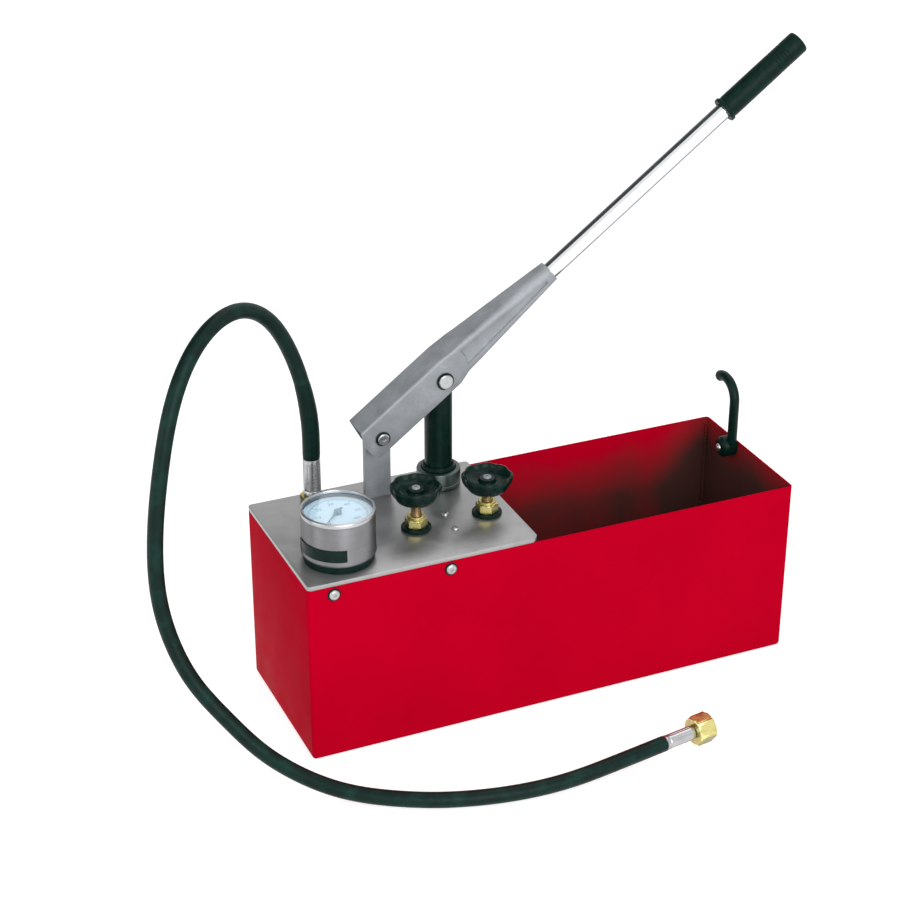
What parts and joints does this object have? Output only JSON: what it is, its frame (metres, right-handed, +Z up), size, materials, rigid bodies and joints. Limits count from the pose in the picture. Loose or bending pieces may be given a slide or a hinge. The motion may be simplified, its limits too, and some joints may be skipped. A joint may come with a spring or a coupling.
{
  "type": "hydrostatic test pump",
  "caption": "Hand-lever pressure test pump on an open steel water trough, with a gauge, two hand valves, a carrying hook and a hose ending in a swivel nut.",
  "frame": {"origin": "middle of the trough's underside", "axes": "+X along the trough towards the hook end, +Y towards the back, where the pump lever stands, +Z up"},
  "size_m": [0.7043, 0.3144, 0.5999],
  "materials": {
    "red_paint": "gloss",
    "zinc_plate": "satin",
    "bright_steel": "polished",
    "chrome": "polished",
    "brass": "machined",
    "cast_aluminium": "cast",
    "black_coat": "semi-gloss",
    "black_plastic": "satin",
    "black_rubber": "satin",
    "dial_white": "matte",
    "clear_glass": "polished"
  },
  "bodies": {
    "pump_body": {"tank": "red_paint", "head_plate": "zinc_plate", "plate_screw_front_left": "bright_steel", "plate_screw_front_right": "bright_steel", "plate_screw_back_left": "bright_steel", "plate_screw_back_right": "bright_steel", "pump_block": "cast_aluminium", "block_screw_back": "bright_steel", "block_screw_front": "bright_steel", "discharge_plug": "brass", "discharge_spring": "bright_steel", "pump_cylinder": "brass", "gland_nut": "bright_steel", "packing_ring": "black_rubber", "rod_wiper": "black_rubber", "foot_valve": "brass", "suction_strainer": "brass", "return_pipe": "brass", "link_bracket": "zinc_plate", "rocker_pin": "bright_steel", "gauge_gasket": "black_rubber", "gauge_housing": "bright_steel", "gauge_bezel": "bright_steel", "gauge_glass": "clear_glass", "gauge_dial": "dial_white", "gauge_socket": "brass", "bourdon_tube": "brass", "gauge_label": "black_plastic", "valve_washer_left": "black_rubber", "valve_washer_right": "black_rubber", "valve_bonnet_left": "brass", "valve_bonnet_right": "brass", "hose_adapter": "brass", "hose_ferrule_pump": "bright_steel", "hose_sleeve": "black_rubber", "hose": "black_rubber", "hose_ferrule_end": "bright_steel", "hose_nipple": "bright_steel", "hook_pin": "bright_steel"},
    "link": {"rocking_link": "zinc_plate"},
    "lever": {"lever_channel": "zinc_plate", "lever_tube": "chrome", "lever_grip": "black_rubber", "fulcrum_pin": "bright_steel", "piston_pin": "bright_steel", "fulcrum_clip": "black_coat", "piston_clip": "black_coat"},
    "piston": {"piston_tube": "black_coat", "piston_eye": "zinc_plate"},
    "left_spindle": {"valve_spindle_left": "brass"},
    "left_knob": {"valve_knob_left": "black_plastic", "knob_screw_left": "bright_steel"},
    "right_spindle": {"valve_spindle_right": "brass"},
    "right_knob": {"valve_knob_right": "black_plastic", "knob_screw_right": "bright_steel"},
    "pointer": {"gauge_pointer": "black_plastic"},
    "swivel_nut": {"hose_nut": "brass"},
    "carrying_hook": {"hook": "black_coat"},
    "inlet_ball": {"suction_ball": "bright_steel"},
    "outlet_ball": {"discharge_ball": "bright_steel"}
  },
  "joints": [
    {"name": "link_rock", "type": "hinge", "parent": "pump_body", "child": "link", "pos_m": [-0.132, 0.054, 0.17], "axis": [0, 1, 0], "range_deg": [-12.3, 2.6]},
    {"name": "lever_swing", "type": "hinge", "parent": "link", "child": "lever", "pos_m": [-0.132, 0.054, 0.2594], "axis": [0, -1, 0], "range_deg": [-47, 9.7]},
    {"name": "piston_stroke", "type": "slide", "parent": "pump_body", "child": "piston", "axis": [0, 0, 1], "range_m": [-0.0462, 0.0098]},
    {"name": "left_spindle_rise", "type": "slide", "parent": "pump_body", "child": "left_spindle", "axis": [0, 0, 1], "range_m": [-0.00421, 0.00076]},
    {"name": "left_knob_turn", "type": "hinge", "parent": "left_spindle", "child": "left_knob", "pos_m": [-0.1225, -0.022, 0.2268], "axis": [0, 0, 1], "range_deg": [-1008, 180]},
    {"name": "right_spindle_rise", "type": "slide", "parent": "pump_body", "child": "right_spindle", "axis": [0, 0, 1], "range_m": [0, 0.00421]},
    {"name": "right_knob_turn", "type": "hinge", "parent": "right_spindle", "child": "right_knob", "pos_m": [-0.049, -0.022, 0.2226], "axis": [0, 0, 1], "range_deg": [0, 1008]},
    {"name": "pointer_turn", "type": "hinge", "parent": "pump_body", "child": "pointer", "pos_m": [-0.209, -0.0439, 0.2367], "axis": [0, 0, -1], "range_deg": [0, 270], "stiffness_Nm_per_rad": 0.0001},
    {"name": "nut_swivel", "type": "hinge", "parent": "pump_body", "child": "swivel_nut", "pos_m": [0.09473, -0.20275, 0.01538], "axis": [0.9916, 0.1218, 0.0436], "continuous": true},
    {"name": "hook_swing", "type": "hinge", "parent": "pump_body", "child": "carrying_hook", "pos_m": [0.2452, 0.0306, 0.1775], "axis": [1, 0, 0], "range_deg": [-12, 75]},
    {"name": "inlet_ball_lift", "type": "slide", "parent": "pump_body", "child": "inlet_ball", "axis": [0, 0, 1], "range_m": [0, 0.003]},
    {"name": "outlet_ball_lift", "type": "slide", "parent": "pump_body", "child": "outlet_ball", "axis": [0, 0, -1], "range_m": [0, 0.002], "stiffness_N_per_m": 100, "springref_m": -0.004, "deforming": ["discharge_spring"]}
  ],
  "couplings": [
    {"joint": "link_rock", "follows": "lever_swing", "ratio": 0.26},
    {"joint": "piston_stroke", "follows": "lever_swing", "m_per_rad": 0.056},
    {"joint": "left_spindle_rise", "follows": "left_knob_turn", "m_per_rad": 0.00023873},
    {"joint": "right_spindle_rise", "follows": "right_knob_turn", "m_per_rad": 0.00023873}
  ]
}
